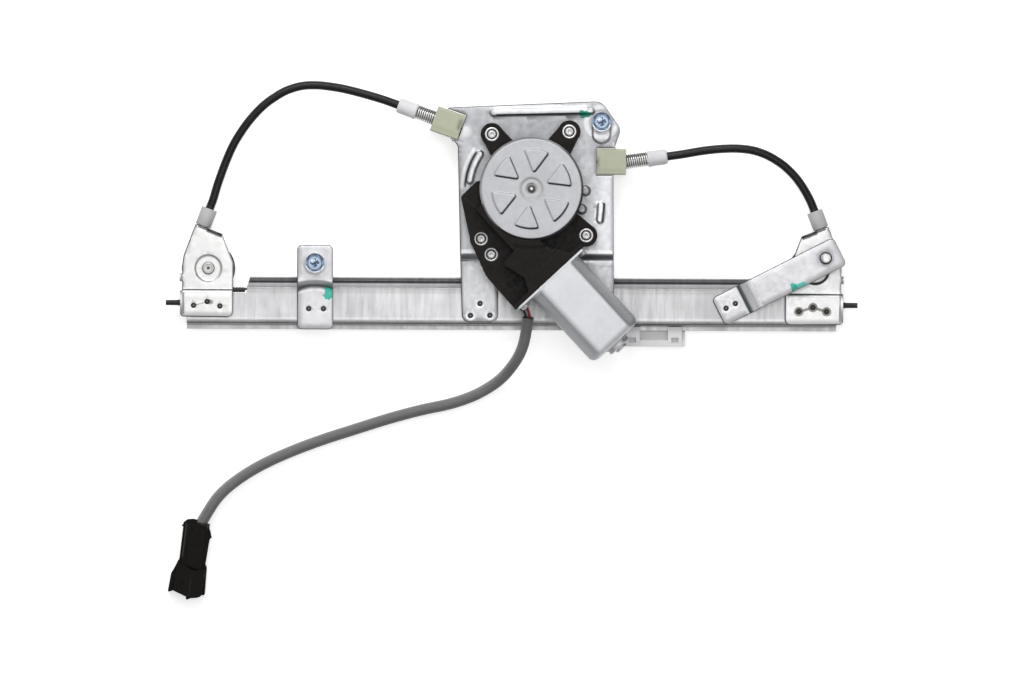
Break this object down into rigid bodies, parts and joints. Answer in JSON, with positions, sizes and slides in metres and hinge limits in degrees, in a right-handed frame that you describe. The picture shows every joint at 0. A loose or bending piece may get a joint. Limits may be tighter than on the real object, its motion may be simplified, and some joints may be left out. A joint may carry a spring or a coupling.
{
  "type": "window regulator",
  "caption": "Car window regulator: a steel guide rail with a sliding glass carrier, moved by a sheathed cable from a worm-gear motor and its wiring loom.",
  "frame": {"origin": "middle of the bounding box of the regulator without its loom and plug, at the level of its lowest face", "axes": "+X along the guide rail towards the mounting strap's stud, +Y across the rail towards the motor plate's top, +Z out of the front with the motor"},
  "size_m": [0.4708, 0.3538, 0.053],
  "materials": {
    "zinc_steel": "bright zinc plate, cold rolled",
    "bracket_steel": "bright zinc plate, lightly brushed",
    "blue_zinc": "bluish zinc plate",
    "cover_steel": "matt grey",
    "can_steel": "satin grey",
    "black_plastic": "moulded, slightly glossy",
    "sheath_black": "extruded, satin",
    "white_plastic": "moulded, satin",
    "block_plastic": "pale olive, slightly translucent",
    "natural_plastic": "moulded, satin",
    "wheel_plastic": "moulded, satin",
    "rubber": "moulded",
    "steel": "ground",
    "cable_steel": "stranded, greased",
    "spring_steel": "drawn wire",
    "ferrite": "sintered",
    "bronze": "sintered",
    "copper": "turned",
    "carbon": "pressed carbon",
    "sleeve_grey": "woven-look grey sleeve",
    "connector_black": "moulded",
    "lead_red": "wire covering",
    "lead_black": "wire covering"
  },
  "bodies": {
    "regulator": {"base_plate": "bracket_steel", "brush_card": "black_plastic", "carbon_brushes": "carbon", "connector_housing": "connector_black", "connector_lock": "connector_black", "connector_seal": "rubber", "connector_terminals": "copper", "drum_housing": "black_plastic", "ear_bushings": "steel", "gear_cover": "cover_steel", "gearbox_housing": "black_plastic", "gearbox_screws": "blue_zinc", "guide_rail": "zinc_steel", "harness_sleeve": "sleeve_grey", "lead_black": "lead_black", "lead_red": "lead_red", "left_bracket_ferrule": "white_plastic", "left_bump_stop": "rubber", "left_cable_sheath": "sheath_black", "left_drum_cable": "cable_steel", "left_mount_strap": "bracket_steel", "left_pulley_axle": "steel", "left_pulley_bracket": "bracket_steel", "left_socket_block": "block_plastic", "left_socket_ferrule": "white_plastic", "left_tension_spring": "spring_steel", "motor_bearings": "bronze", "motor_can": "can_steel", "motor_magnets": "ferrite", "motor_screws": "blue_zinc", "mount_bolts": "blue_zinc", "rail_cable": "cable_steel", "right_bracket_ferrule": "white_plastic", "right_bump_stop": "rubber", "right_cable_sheath": "sheath_black", "right_drum_cable": "cable_steel", "right_mount_strap": "bracket_steel", "right_pulley_axle": "steel", "right_pulley_bracket": "bracket_steel", "right_socket_block": "block_plastic", "right_socket_ferrule": "white_plastic", "right_tension_spring": "spring_steel", "strap_stud": "blue_zinc", "weld_nuts": "steel", "wire_grommet": "rubber"},
    "carrier": {"carrier_slider": "white_plastic", "cable_nipples": "cable_steel", "glass_inserts": "steel"},
    "drum": {"cable_drum": "natural_plastic", "drum_cable_wraps": "cable_steel", "drive_hub": "steel", "worm_wheel": "wheel_plastic", "rubber_damper": "rubber"},
    "left_pulley": {"left_pulley": "black_plastic"},
    "right_pulley": {"right_pulley": "black_plastic"},
    "armature": {"armature_shaft": "steel", "armature_core": "steel", "commutator": "copper"}
  },
  "joints": [
    {"name": "motor_spin", "type": "hinge", "parent": "regulator", "child": "armature", "pos_m": [-0.00767, 0.00283, 0.0365], "axis": [-0.682, 0.7314, 0], "range_deg": [-38780, 10420]},
    {"name": "drum_spin", "type": "hinge", "parent": "regulator", "child": "drum", "pos_m": [0.0131, 0.0222, 0], "axis": [0, 0, 1], "range_deg": [-809, 218]},
    {"name": "carrier_slide", "type": "slide", "parent": "regulator", "child": "carrier", "axis": [1, 0, 0], "range_m": [-0.268, 0.072]},
    {"name": "left_pulley_spin", "type": "hinge", "parent": "regulator", "child": "left_pulley", "pos_m": [-0.2064, -0.0322, 0], "axis": [0, 0, 1], "range_deg": [-1098, 296]},
    {"name": "right_pulley_spin", "type": "hinge", "parent": "regulator", "child": "right_pulley", "pos_m": [0.2064, -0.0322, 0], "axis": [0, 0, 1], "range_deg": [-1098, 296]}
  ],
  "couplings": [
    {"joint": "drum_spin", "follows": "motor_spin", "ratio": 0.020833},
    {"joint": "carrier_slide", "follows": "motor_spin", "m_per_rad": 0.00039583},
    {"joint": "left_pulley_spin", "follows": "motor_spin", "ratio": 0.028274},
    {"joint": "right_pulley_spin", "follows": "motor_spin", "ratio": 0.028274}
  ]
}
